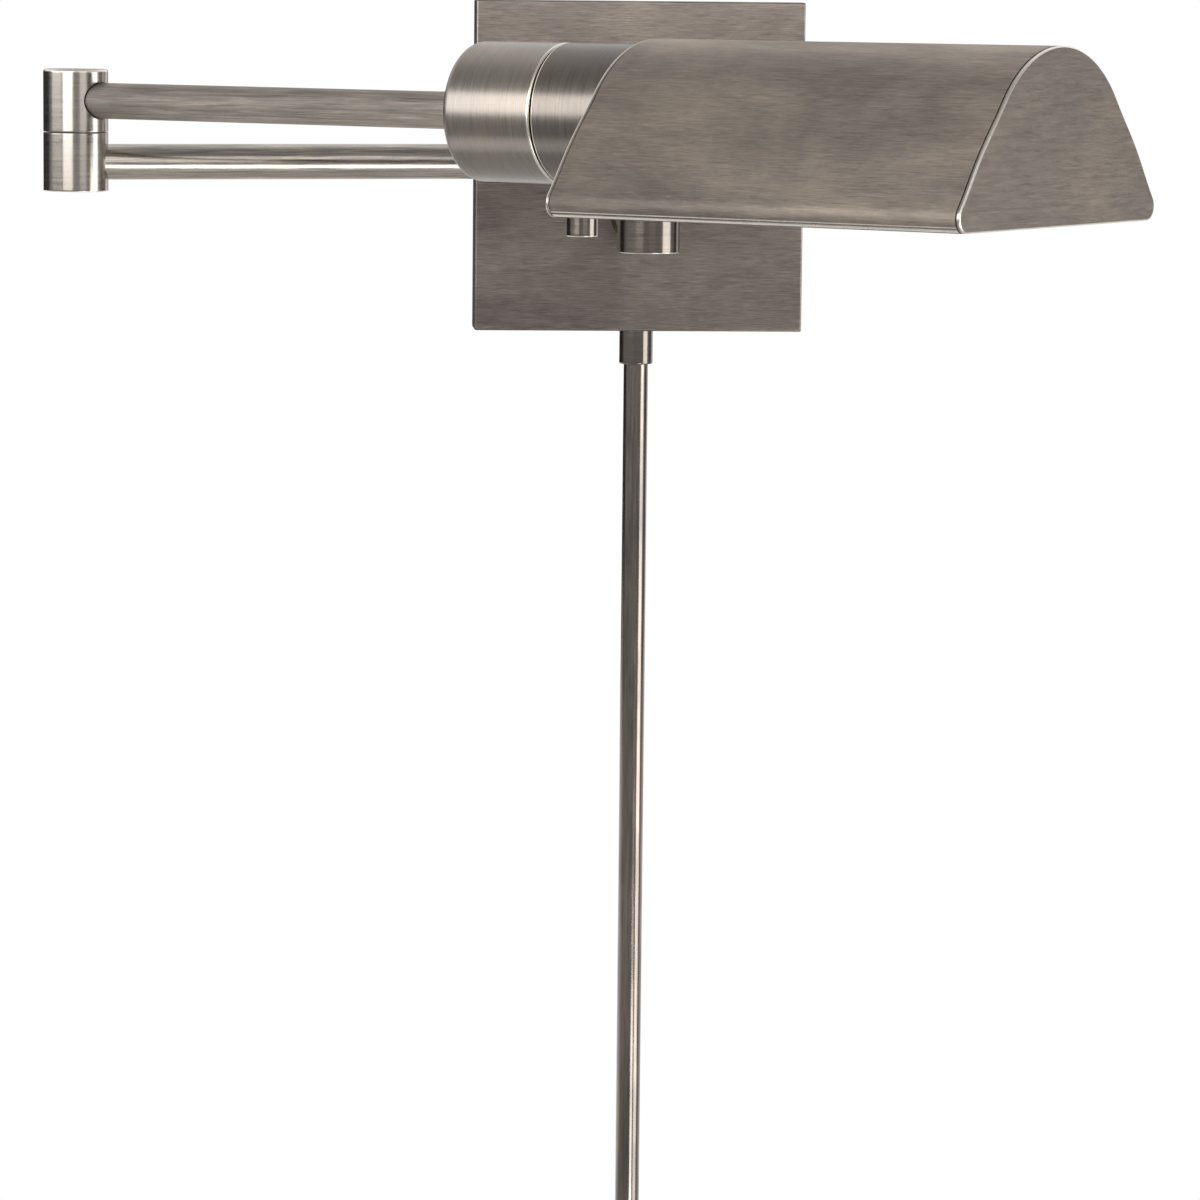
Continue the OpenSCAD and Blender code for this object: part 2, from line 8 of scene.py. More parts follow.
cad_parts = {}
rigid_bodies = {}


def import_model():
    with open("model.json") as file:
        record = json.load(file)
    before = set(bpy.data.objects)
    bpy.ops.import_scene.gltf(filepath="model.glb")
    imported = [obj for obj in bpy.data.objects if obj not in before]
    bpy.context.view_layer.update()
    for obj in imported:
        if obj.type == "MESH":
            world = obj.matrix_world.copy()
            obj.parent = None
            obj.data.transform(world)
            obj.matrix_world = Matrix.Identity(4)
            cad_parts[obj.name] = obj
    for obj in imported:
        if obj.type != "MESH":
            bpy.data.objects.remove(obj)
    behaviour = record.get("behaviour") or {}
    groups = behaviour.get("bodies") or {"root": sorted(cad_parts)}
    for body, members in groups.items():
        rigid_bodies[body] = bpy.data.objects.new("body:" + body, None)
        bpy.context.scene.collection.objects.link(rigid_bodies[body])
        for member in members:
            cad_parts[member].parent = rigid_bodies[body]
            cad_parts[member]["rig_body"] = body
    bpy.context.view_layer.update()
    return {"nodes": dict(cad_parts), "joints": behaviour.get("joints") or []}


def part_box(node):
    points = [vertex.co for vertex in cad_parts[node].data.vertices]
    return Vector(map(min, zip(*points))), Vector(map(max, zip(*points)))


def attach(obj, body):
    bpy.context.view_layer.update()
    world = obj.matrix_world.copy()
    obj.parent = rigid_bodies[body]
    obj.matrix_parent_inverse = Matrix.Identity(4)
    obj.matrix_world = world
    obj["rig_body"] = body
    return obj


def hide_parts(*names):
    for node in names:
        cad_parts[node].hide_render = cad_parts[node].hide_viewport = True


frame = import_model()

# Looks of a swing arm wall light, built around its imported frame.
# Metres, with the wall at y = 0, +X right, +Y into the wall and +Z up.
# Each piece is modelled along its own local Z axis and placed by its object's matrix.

MM = 0.001
UP = Vector((0, 0, 1))
RIGHT = Vector((1, 0, 0))
OUT = Vector((0, -1, 0))

# Steps of full turns, of rounded corners and of the rounded edges of plates
TURN_STEPS = 144
HOLE_STEPS = 96
SCREW_STEPS = 64
ROUND_STEPS = 6
PLATE_STEPS = 8
RIM_STEPS = 6

# Limits of the mesh helpers: HOLD is the distance of a support ring from a rounded edge, and
# RIM_SLOPES are the slopes of a rim's faces, between those of its wall and of its end
SHARP_ANGLE = math.radians(35)
WELD = 0.002 * MM
POLE_R = 1e-7
HOLD = 0.4 * MM
RIM_SLOPES = (0.1, 0.98)

# Rounded edges that several pieces share
EDGE = 0.5 * MM
FINE_EDGE = 0.25 * MM
FOOT_EDGE = 0.3 * MM

# Camera, fitted to the plate, the arms, the housings and the shade
CAMERA_TURN = math.radians(4.083)
CAMERA_DROP = math.radians(6.986)
CAMERA_ROLL = math.radians(0.5665)
CAMERA_DISTANCE = 1769.15 * MM
CAMERA_AIM = Vector((0, -18 * MM, 0))
CAMERA_REACH = 100
IMAGE_SIDE = 1200
FOCAL_PIXELS = 5093.46
AIM_PIXEL = Vector((639.94, 166.80))
SENSOR = 36


# Places in the frame

JOINTS = {joint["name"]: joint for joint in frame["joints"]}


def joint_place(name):
    return Vector(JOINTS[name]["pos_m"])


HUB = joint_place("wall_swing")
ELBOW = joint_place("elbow_swing")
SWITCH = joint_place("switch_turn")
HEAD_WAY = Vector(JOINTS["head_roll"]["axis"]).normalized()
HEAD_SIDE = UP.cross(HEAD_WAY)
INNER_WAY = Vector((ELBOW.x - HUB.x, ELBOW.y - HUB.y, 0)).normalized()
STEM_Z = sum(c.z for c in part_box("stem")) / 2
STEM_R = (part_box("stem")[1].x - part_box("stem")[0].x) / 2


def axes(origin, way, side):
    """Matrix whose local Z runs along way and local X along side."""
    z = way.normalized()
    x = (side - z * side.dot(z)).normalized()
    y = z.cross(x)
    turn = Matrix((x, y, z)).transposed().to_4x4()
    return Matrix.Translation(origin) @ turn


HEAD = axes(ELBOW, HEAD_WAY, HEAD_SIDE)
HUB_AXIS = axes(Vector((HUB.x, HUB.y, 0)), UP, RIGHT)
ELBOW_AXIS = axes(Vector((ELBOW.x, ELBOW.y, 0)), UP, RIGHT)
INNER = axes(HUB, INNER_WAY, UP)
SWITCH_AXIS = axes(Vector((SWITCH.x, SWITCH.y, 0)), UP, RIGHT)
WALL = axes(Vector((0, 0, 0)), OUT, RIGHT)


def points_of(node, place):
    """Vertices of a CAD node in the local frame of place."""
    back = place.inverted()
    return [back @ v.co for v in frame["nodes"][node].data.vertices]


def span(node, place):
    """Lowest and highest local Z of a CAD node."""
    heights = [p.z for p in points_of(node, place)]
    return min(heights), max(heights)


def reach(node, place):
    """Largest radius of a CAD node about local Z."""
    return max(math.hypot(p.x, p.y) for p in points_of(node, place))


def shade_sizes():
    """Half width, rise and drop of the shade about the head's axis."""
    sideways = [p.x for p in points_of("shade_outer_end", HEAD)]
    upwards = [p.y for p in points_of("shade_outer_end", HEAD)]
    return max(sideways), max(upwards), -min(upwards)


SHADE_HALF, SHADE_RISE, SHADE_DROP = shade_sizes()


# Mesh helpers


def rounded(outline):
    """Points of a closed outline given as (x, y, corner radius)."""
    points = []
    count = len(outline)
    for i, (x, y, radius) in enumerate(outline):
        corner = Vector((x, y))
        if radius <= 0:
            points.append(corner)
            continue
        before = (Vector(outline[i - 1][:2]) - corner).normalized()
        after = (Vector(outline[(i + 1) % count][:2]) - corner).normalized()
        half = before.angle(after) / 2
        centre = corner + (before + after).normalized() * (radius / math.sin(half))
        start = corner + before * (radius / math.tan(half)) - centre
        end = corner + after * (radius / math.tan(half)) - centre
        first = math.atan2(start.y, start.x)
        sweep = math.remainder(math.atan2(end.y, end.x) - first, math.tau)
        for k in range(ROUND_STEPS + 1):
            angle = first + sweep * k / ROUND_STEPS
            points.append(centre + Vector((math.cos(angle), math.sin(angle))) * radius)
    return points


def sleeve(bore, radius, low, high, low_edge=0, high_edge=0):
    """Outline of a plain tube, or of a rod where the bore is 0."""
    return [(bore, low, 0), (radius, low, low_edge), (radius, high, high_edge), (bore, high, 0)]


def arc(centre, radius, first, last, steps):
    """Points on an arc, angles in radians."""
    turns = [first + (last - first) * k / steps for k in range(steps + 1)]
    return [Vector(centre) + Vector((math.cos(a), math.sin(a))) * radius for a in turns]


def quarter_turns(steps):
    return [math.pi / 2 * k / steps for k in range(steps + 1)]


def bridge(bm, a, b):
    """Quads between two rings of equal length, or a fan to a single point."""
    count = max(len(a), len(b))
    for i in range(count):
        j = (i + 1) % count
        corners = [a[i % len(a)], a[j % len(a)], b[j % len(b)], b[i % len(b)]]
        corners = list(dict.fromkeys(corners))
        if len(corners) > 2:
            bm.faces.new(corners)


def held(outline):
    """Adds points near the ends of long runs, so that rounded edges don't tilt the walls' shading."""
    points = []
    for a, b in zip(outline, outline[1:] + outline[:1]):
        points.append(a)
        run = b - a
        if run.length > 4 * HOLD and max(a.x, b.x) > HOLD:
            points.append(a + run.normalized() * HOLD)
            points.append(b - run.normalized() * HOLD)
    return points


def lathe(outline, steps=TURN_STEPS):
    """Closed solid turned about local Z from a closed outline of (radius, height)."""
    bm = bmesh.new()
    turns = [math.tau * k / steps for k in range(steps)]
    rings = []
    for r, z in held(outline):
        if r < POLE_R:
            rings.append([bm.verts.new((0, 0, z))])
        else:
            rings.append([bm.verts.new((r * math.cos(t), r * math.sin(t), z)) for t in turns])
    for a, b in zip(rings, rings[1:] + rings[:1]):
        bridge(bm, a, b)
    bmesh.ops.recalc_face_normals(bm, faces=bm.faces)
    return bm


def loft(rings):
    """Closed solid through rings of equal length, each a list of 3-D points."""
    bm = bmesh.new()
    loops = [[bm.verts.new(p) for p in ring] for ring in rings]
    for a, b in zip(loops, loops[1:]):
        bridge(bm, a, b)
    bm.faces.new(loops[0])
    bm.faces.new(loops[-1])
    bmesh.ops.recalc_face_normals(bm, faces=bm.faces)
    return bm


def temporary(bm):
    mesh = bpy.data.meshes.new("temporary")
    bm.to_mesh(mesh)
    bm.free()
    obj = bpy.data.objects.new("temporary", mesh)
    bpy.context.scene.collection.objects.link(obj)
    return obj


def discard(obj):
    mesh = obj.data
    bpy.data.objects.remove(obj)
    bpy.data.meshes.remove(mesh)


def carve(bm, cutter):
    """The solid bm with the solid cutter taken away, cleaned of slivers."""
    body = temporary(bm)
    tool = temporary(cutter)
    modifier = body.modifiers.new("cut", "BOOLEAN")
    modifier.operation = "DIFFERENCE"
    modifier.solver = "EXACT"
    modifier.object = tool
    bpy.context.view_layer.update()
    carved = bmesh.new()
    shape = body.evaluated_get(bpy.context.evaluated_depsgraph_get())
    carved.from_mesh(shape.to_mesh())
    shape.to_mesh_clear()
    bmesh.ops.triangulate(carved, faces=[f for f in carved.faces if len(f.verts) > 4])
    bmesh.ops.remove_doubles(carved, verts=carved.verts, dist=WELD)
    bmesh.ops.dissolve_degenerate(carved, dist=WELD, edges=carved.edges)
    discard(body)
    discard(tool)
    return carved


def piece(name, bm, place, material, edges=None):
    """Adds a piece in its CAD node's stead, riding on its body, with rubbed edges where asked, painted
    lighter than nickel as highlights.
    """
    nodes = [name.removesuffix("_look")]
    mesh = bpy.data.meshes.new(name)
    bm.to_mesh(mesh)
    bm.free()
    mesh.shade_smooth()
    mesh.set_sharp_from_angle(angle=SHARP_ANGLE)
    mesh.materials.append(material)
    if edges:
        mesh.materials.append(RUBBED_HIGHLIGHT)
        for face in mesh.polygons:
            face.material_index = int(edges(face.center, face.normal))
    obj = bpy.data.objects.new(name, mesh)
    bpy.context.scene.collection.objects.link(obj)
    obj.matrix_world = place
    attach(obj, frame["nodes"][nodes[0]]["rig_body"])
    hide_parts(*nodes)


def turned_piece(node, place, outline, material, edges=None):
    piece(node + "_look", lathe(rounded(outline)), place, material, edges)


def rim(low, high, least_r=0):
    """Test for the rounded faces of a piece between two heights and outside a radius."""
    wall, end = RIM_SLOPES

    def test(centre, normal):
        wide = math.hypot(centre.x, centre.y) > least_r
        return wide and low < centre.z < high and wall < abs(normal.z) < end

    return test


# Materials

NOISE_MIDDLE = (0.3, 0.7)


class Nodes:
    """Node tree of a material or world, with short calls to add and link nodes."""

    def __init__(self, owner):
        owner.use_nodes = True
        self.owner = owner
        self.tree = owner.node_tree
        self.shader = self.tree.nodes.get("Principled BSDF")

    def put(self, socket, value):
        """Links a socket to an output, or sets its value."""
        if hasattr(value, "is_output"):
            self.tree.links.new(value, socket)
        else:
            socket.default_value = value

    def add(self, kind, links=(), **values):
        """Adds a node, sets its properties, and puts (socket, value) pairs."""
        node = self.tree.nodes.new(kind)
        for key, value in values.items():
            setattr(node, key, value)
        for socket, value in links:
            self.put(node.inputs[socket], value)
        return node

    def noise(self, place, size, detail=4.0, roughness=0.55, distortion=0.0):
        """Noise whose features measure size = (x, y, z) metres in the piece's own axes."""
        links = [("Vector", place), ("Scale", size)]
        mapping = self.add("ShaderNodeMapping", links, vector_type="TEXTURE")
        links = [("Vector", mapping.outputs[0]), ("Scale", 1.0), ("Detail", detail)]
        links += [("Roughness", roughness), ("Distortion", distortion)]
        return self.add("ShaderNodeTexNoise", links).outputs["Fac"]

    def level(self, source, low, high, to_low, to_high, curve="LINEAR"):
        """Maps a value from low..high to to_low..to_high, clamped."""
        links = [("Value", source), ("From Min", low), ("From Max", high)]
        links += [("To Min", to_low), ("To Max", to_high)]
        return self.add("ShaderNodeMapRange", links, interpolation_type=curve).outputs[0]

    def ease(self, source, low, high, to_low, to_high):
        """Maps as level does, with soft ends."""
        return self.level(source, low, high, to_low, to_high, "SMOOTHSTEP")

    def vary(self, noise, to_low, to_high):
        """Maps the middle of a noise's range to to_low..to_high, clamped."""
        return self.level(noise, *NOISE_MIDDLE, to_low, to_high)

    def maths(self, operation, a, b):
        return self.add("ShaderNodeMath", [(0, a), (1, b)], operation=operation).outputs[0]

    def mix(self, factor, a, b, blend="MIX"):
        """Mixes two colours."""
        node = self.add("ShaderNodeMix", data_type="RGBA", blend_type=blend)
        sockets = [node.inputs[0], *[s for s in node.inputs if s.type == "RGBA"]]
        for socket, value in zip(sockets, (factor, a, b)):
            self.put(socket, value)
        return [s for s in node.outputs if s.type == "RGBA"][0]

    def set(self, **values):
        """Sets or links sockets of the shader, with _ for a space in their names."""
        for key, value in values.items():
            self.put(self.shader.inputs[key.replace("_", " ")], value)

    def bump(self, height, distance):
        links = [("Height", height), ("Distance", distance)]
        self.set(Normal=self.add("ShaderNodeBump", links).outputs[0])

    def place(self):
        return self.add("ShaderNodeTexCoord").outputs["Object"]


def mm(*sizes):
    return tuple(size * MM for size in sizes)


def scaled(colour, share):
    return tuple(c * share for c in colour)


def tint(colour, share):
    return (*scaled(colour, share), 1.0)


# Brushing in a piece's own axes: sizes of its fine lines, of its streaks and of its soft clouds
BRUSH_AROUND = (mm(16, 16, 0.3), mm(20, 20, 1.4), mm(24, 24, 18))
BRUSH_ALONG = (mm(0.4, 0.4, 6), mm(1.2, 1.2, 16), mm(26, 26, 60))
BRUSH_ACROSS = (mm(6, 0.4, 6), mm(16, 1.2, 16), mm(60, 30, 30))
BRUSH_TUBE = (mm(0.35, 0.35, 11), mm(1.0, 1.0, 30), mm(6, 6, 36))

# Painted light and shade by height in a piece's own axes: from, to, and the shares of the tone there
# Plate painted lighter towards its top and darker towards its foot, as light falls on it
PLATE_PAINTED_LIGHT = (-57 * MM, 57 * MM, 0.87, 1.13)
# Shade painted lighter along its ridge, a painted highlight
RIDGE_PAINTED_HIGHLIGHT = (SHADE_RISE - 10 * MM, SHADE_RISE - 2 * MM, 0.97, 1.42)
# Front housing painted darker towards its top, painted shade
FRONT_PAINTED_SHADE = (8 * MM, 17 * MM, 1.0, 0.72)
# Outer arm painted lighter on its lower side, painted light from below
TUBE_PAINTED_LIGHT = (-5 * MM, -0.5 * MM, 1.45, 1.0)

NICKEL = (0.300, 0.268, 0.239)
# Darker copy of the nickel for the front housing beside the shade, painted shade
SHADED_FRONT_NICKEL = scaled(NICKEL, 0.72)
TUBE_NICKEL = scaled(NICKEL, 0.84)
PLATE_NICKEL = (0.261, 0.226, 0.203)
POLISHED = (0.255, 0.224, 0.197)
# Darker copy of the polished nickel, painted shade for the hub and knob under the shade
SHADED_POLISHED = scaled(POLISHED, 0.86)
# Lighter copy of the nickel, painted light: the elbow and the inner arm share the finish of the hub and the
# outer arm
LIT_PALE = (0.400, 0.366, 0.328)
# Edges rubbed through the patina, painted lighter than polished nickel as highlights
RUBBED_HIGHLIGHT_NICKEL = (0.820, 0.775, 0.710)
SOFT = (0.190, 0.165, 0.142)
DULL = (0.360, 0.310, 0.267)
COOL = (0.98, 0.985, 1.0, 1.0)
WARM = (1.02, 1.0, 0.96, 1.0)

# How much the lines, the streaks, the clouds and the bright flecks change the colour
PLATE_WEAR = (0.28, 0.12, 0.24, 0.40)
SHEET_WEAR = (0.25, 0.11, 0.26, 0.40)
END_WEAR = (0.09, 0.04, 0.12, 0.10)
TURNED_WEAR = (0.12, 0.06, 0.05, 0.0)
TUBE_WEAR = (0.26, 0.30, 0.18, 0.40)
FINE_WEAR = (0.06, 0.06, 0.06, 0.0)
ROD_WEAR = (0.12, 0.20, 0.24, 0.0)

# Relief of the fine lines
LINE_RELIEF = 0.010 * MM
TUBE_RELIEF = 0.006 * MM
FINE_RELIEF = 0.0015 * MM
ROD_RELIEF = 0.0012 * MM

# Parts of the noises' ranges where warmth, flecks, pits and roughness change, and by how much
WARMTH_AT = (0.36, 0.64)
FLECKS_AT = (0.62, 0.74)
FLECK_STRETCH = 0.5
PITS_AT = (0.67, 0.75)
PIT_SIZE = mm(0.9, 0.9, 0.9)
PIT_SHARE = 0.3
PIT_TONE = 0.5
PIT_DEPTH = 0.5
ROUGHNESS_AT = (0.6, 1.4)
SMOOTHER = 0.05
ROUGHER = 0.06
TONE_MOST = 2.0


def nickel(name, brush, wear, colour, rough=0.33, relief=LINE_RELIEF, stretch=0.0, turn=0.0, painted_fade=None):
    """Brushed antique nickel: fine lines, streaks, clouds of patina, bright flecks and small pits, and where
    asked painted light and shade by height.
    """
    n = Nodes(bpy.data.materials.new(name))
    place = n.place()
    line_size, streak_size, cloud_size = brush
    line_share, streak_share, cloud_share, fleck_share = wear
    lines = n.noise(place, line_size, detail=5.0, roughness=0.65)
    streaks = n.noise(place, streak_size, detail=4.0, roughness=0.6, distortion=0.4)
    clouds = n.noise(place, cloud_size, detail=4.0, roughness=0.6, distortion=0.6)
    pits = n.noise(place, PIT_SIZE, detail=2.0)
    tone = n.vary(lines, 1 - line_share, 1 + line_share)
    for noise, share in ((streaks, streak_share), (clouds, cloud_share)):
        tone = n.maths("MULTIPLY", tone, n.vary(noise, 1 - share, 1 + share))
    # Painted light and shade: the tone changes with height in the piece's own axes
    if painted_fade:
        height = n.add("ShaderNodeSeparateXYZ", [(0, place)]).outputs["Y"]
        tone = n.maths("MULTIPLY", tone, n.level(height, *painted_fade))
    if fleck_share:
        size = [s * FLECK_STRETCH if s > MM else s for s in line_size]
        flecks = n.noise(place, size, detail=3.0, roughness=0.7)
        tone = n.maths("MULTIPLY", tone, n.level(flecks, *FLECKS_AT, 1.0, 1 + fleck_share))
    share = n.maths("MULTIPLY", tone, 1 / TONE_MOST)
    base = n.mix(share, tint(colour, 0.0), tint(colour, TONE_MOST))
    warmth = n.mix(n.level(clouds, *WARMTH_AT, 0.0, 1.0), COOL, WARM)
    base = n.mix(1.0, base, warmth, "MULTIPLY")
    spots = n.level(pits, *PITS_AT, 0.0, PIT_SHARE)
    base = n.mix(spots, base, tint(colour, PIT_TONE))
    grain = n.maths("ADD", lines, streaks)
    spread = n.level(grain, *ROUGHNESS_AT, rough - SMOOTHER, rough + ROUGHER)
    n.set(Base_Color=base, Metallic=1.0, Roughness=spread)
    n.set(Anisotropic=stretch, Anisotropic_Rotation=turn)
    if stretch:
        n.set(Tangent=n.add("ShaderNodeTangent", direction_type="RADIAL", axis="Z").outputs[0])
    n.bump(n.maths("SUBTRACT", lines, n.maths("MULTIPLY", spots, PIT_DEPTH)), relief)
    return n.owner


def surface(name, colour, tones, clouds, grain, rough, relief, **values):
    """Plain surface: soft clouds between two tones, and grain in its roughness and relief.

    The clouds and the grain are each given by a size and the detail of a noise."""
    n = Nodes(bpy.data.materials.new(name))
    place = n.place()
    soft, fine = [n.noise(place, (size, size, size), detail) for size, detail in (clouds, grain)]
    base = n.mix(n.vary(soft, 0.0, 1.0), *[tint(colour, tone) for tone in tones])
    n.set(Base_Color=base, Roughness=n.vary(fine, *rough), **values)
    n.bump(fine, relief)
    return n.owner


ROUND_FINISH = {"rough": 0.29, "stretch": 0.6, "turn": 0.25}
# Plate: painted light, lighter at the top and darker at the foot
PLATE = nickel("plate_nickel", BRUSH_ACROSS, PLATE_WEAR, PLATE_NICKEL, painted_fade=PLATE_PAINTED_LIGHT)
# Shade sheet: painted highlight along the ridge
SHEET = nickel("sheet_nickel", BRUSH_ALONG, SHEET_WEAR, SOFT, 0.46, stretch=0.88, painted_fade=RIDGE_PAINTED_HIGHLIGHT)
END = nickel("end_nickel", BRUSH_ACROSS, END_WEAR, DULL, 0.34)
TURNED = nickel("turned_nickel", BRUSH_AROUND, TURNED_WEAR, NICKEL, **ROUND_FINISH)
# Front housing: darker copy of the turned nickel with a darker top, painted shade
FRONT = nickel("front_nickel_painted_shade", BRUSH_AROUND, TURNED_WEAR, SHADED_FRONT_NICKEL, painted_fade=FRONT_PAINTED_SHADE, **ROUND_FINISH)
# Outer arm: painted light on its lower side
TUBE = nickel("tube_nickel", BRUSH_TUBE, TUBE_WEAR, TUBE_NICKEL, 0.44, stretch=0.86, painted_fade=TUBE_PAINTED_LIGHT)
# Inner arm: lighter copy of the tube nickel, painted light
LIT_GLOSSY_TUBE = nickel("glossy_tube_nickel_painted_light", BRUSH_TUBE, TUBE_WEAR, LIT_PALE, 0.20, TUBE_RELIEF)
# Polished nickel in a darker copy, painted shade; the screws, stem, collar and ferrule share it
SHADED_FINE = nickel("fine_nickel_painted_shade", BRUSH_AROUND, FINE_WEAR, SHADED_POLISHED, 0.14, FINE_RELIEF)
# Elbow knuckles: lighter copy of the polished nickel, painted light
LIT_BRIGHT = nickel("bright_nickel_painted_light", BRUSH_AROUND, FINE_WEAR, LIT_PALE, 0.18, FINE_RELIEF)
ROD = nickel("rod_nickel", BRUSH_TUBE, ROD_WEAR, POLISHED, 0.13, ROD_RELIEF)
# Rubbed edges, painted lighter as highlights
RUBBED_HIGHLIGHT = nickel("rubbed_nickel_painted_highlight", BRUSH_AROUND, FINE_WEAR, RUBBED_HIGHLIGHT_NICKEL, 0.26, FINE_RELIEF)
CAP = nickel("cap_nickel", BRUSH_ACROSS, END_WEAR, POLISHED, 0.3)

METAL = {
    "tones": (0.78, 1.12),
    "clouds": (3 * MM, 4.0),
    "grain": (0.5 * MM, 3.0),
    "relief": 0.02 * MM,
    "Metallic": 1.0,
}
STEEL = surface("zinc_steel", (0.46, 0.47, 0.48), rough=(0.26, 0.44), **METAL)
BRASS = surface("turned_brass", (0.56, 0.38, 0.14), rough=(0.20, 0.38), **METAL)
BLACK = surface(
    "black_plastic",
    (0.025, 0.025, 0.027),
    tones=(0.85, 1.2),
    clouds=(6 * MM, 3.0),
    grain=(0.25 * MM, 3.0),
    rough=(0.36, 0.50),
    relief=0.02 * MM,
)
CERAMIC = surface(
    "glazed_ceramic",
    (0.78, 0.76, 0.70),
    tones=(0.94, 1.03),
    clouds=(9 * MM, 3.0),
    grain=(4 * MM, 2.0),
    rough=(0.14, 0.24),
    relief=0.05 * MM,
    Coat_Weight=0.4,
    Coat_Roughness=0.1,
)
GLASS = surface(
    "frosted_glass",
    (0.86, 0.85, 0.81),
    tones=(0.96, 1.02),
    clouds=(12 * MM, 3.0),
    grain=(7 * MM, 2.0),
    rough=(0.16, 0.26),
    relief=0.03 * MM,
    Subsurface_Weight=0.25,
    Subsurface_Radius=mm(4, 4, 3.5),
    Coat_Weight=0.5,
    Coat_Roughness=0.06,
)


# Wall mount

PLATE_WALL = 1.2 * MM
PLATE_EDGE = 0.7 * MM
PLATE_CORNER = 0.6 * MM
CORNER_LEAST = 0.2 * MM
SCREW_SHANK = 5.4 * MM
SCREW_SLOT = 0.9 * MM
SCREW_FLAT = 0.6
SCREW_DOME = 1.2 * MM
SCREW_SIDE = 0.5 * MM
SCREW_EDGE = 0.3 * MM
STEM_WALL = 1.4 * MM
COLLAR_STEP = 1.6 * MM
COLLAR_BEND = 1.2 * MM
CORD_TUBE_WALL = 0.8 * MM
CORD_TUBE_FIT = 0.15 * MM
CORD_BORE_R = 2.4 * MM
FERRULE_MOUTH = 0.1 * MM
FERRULE_NECK_R = 4 * MM
FERRULE_SOCKET = 9 * MM
PLUG_FIT = 0.05 * MM
BUSHING_EDGE = 0.6 * MM
BUSHING_BORE_EDGE = 0.4 * MM


def canopy():
    """Pressed square plate with rounded front edges, open at the back."""
    low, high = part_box("canopy")
    half = (high.x - low.x) / 2
    depth = high.y - low.y
    inside = depth - PLATE_WALL

    def ring(inset, height):
        side = half - inset
        radius = max(PLATE_CORNER - inset, CORNER_LEAST)
        square = [(side, -side, radius), (side, side, radius)]
        square += [(-side, side, radius), (-side, -side, radius)]
        return [(p.x, p.y, height) for p in rounded(square)]

    def edge(inset, face, radius):
        """Rings over the edge from a wall at an inset to a face at a height."""
        turns = quarter_turns(PLATE_STEPS)
        steps = [(radius * (1 - math.cos(t)), radius * (1 - math.sin(t))) for t in turns]
        return [ring(inset + across, face - down) for across, down in steps]

    rings = [ring(PLATE_WALL + FINE_EDGE + HOLD, inside)]
    rings += reversed(edge(PLATE_WALL, inside, FINE_EDGE))
    rings += [ring(PLATE_WALL, z) for z in (inside - FINE_EDGE - HOLD, FINE_EDGE + HOLD, FINE_EDGE)]
    rings += [ring(PLATE_WALL - FINE_EDGE, 0), ring(FINE_EDGE, 0)]
    rings += [ring(0, z) for z in (FINE_EDGE, FINE_EDGE + HOLD, depth - PLATE_EDGE - HOLD)]
    rings += edge(0, depth, PLATE_EDGE)
    rings += [ring(PLATE_EDGE + HOLD, depth)]
    piece("canopy_look", loft(rings), WALL, PLATE)


def canopy_screws():
    """Two domed screws with driver slots, one in each side of the canopy."""
    low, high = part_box("canopy_screws")
    canopy_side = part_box("canopy")[1].x
    head_h = high.x - canopy_side
    head_r = (high.z - low.z) / 2
    shank_r = head_r / 2
    middle = (low + high) / 2
    outline = [(0, head_h, 0), (head_r * SCREW_FLAT, head_h, SCREW_DOME)]
    outline += [(head_r, SCREW_SIDE, SCREW_EDGE), (head_r, 0, 0), (shank_r, 0, 0)]
    outline += [(shank_r, -SCREW_SHANK, SCREW_EDGE), (0, -SCREW_SHANK, 0)]
    both = bmesh.new()
    for way in (-1, 1):
        slot = bmesh.new()
        bmesh.ops.create_cube(slot, size=1)
        bmesh.ops.scale(slot, vec=(3 * head_r, SCREW_SLOT, head_h), verts=slot.verts)
        bmesh.ops.translate(slot, vec=(0, 0, head_h), verts=slot.verts)
        screw = carve(lathe(rounded(outline), SCREW_STEPS), slot)
        place = axes(Vector((way * canopy_side, middle.y, middle.z)), RIGHT * way, UP)
        bmesh.ops.transform(screw, matrix=place, verts=screw.verts)
        part = temporary(screw)
        both.from_mesh(part.data)
        discard(part)
    piece("canopy_screws_look", both, Matrix.Identity(4), SHADED_FINE)


def stem():
    """Tube that carries the hub, and the collar round its foot."""
    place = axes(Vector((0, 0, STEM_Z)), OUT, UP)
    low, high = span("stem", place)
    r = reach("stem", place)
    turned_piece("stem", place, sleeve(r - STEM_WALL, r, low, high, EDGE), SHADED_FINE)
    low, high = span("stem_collar", place)
    big = reach("stem_collar", place)
    collar = [(r, low, 0), (big, low, FINE_EDGE), (big, low + COLLAR_STEP, FINE_EDGE)]
    collar += [(big - COLLAR_STEP, high, COLLAR_BEND), (r, high, 0)]
    turned_piece("stem_collar", place, collar, SHADED_FINE)


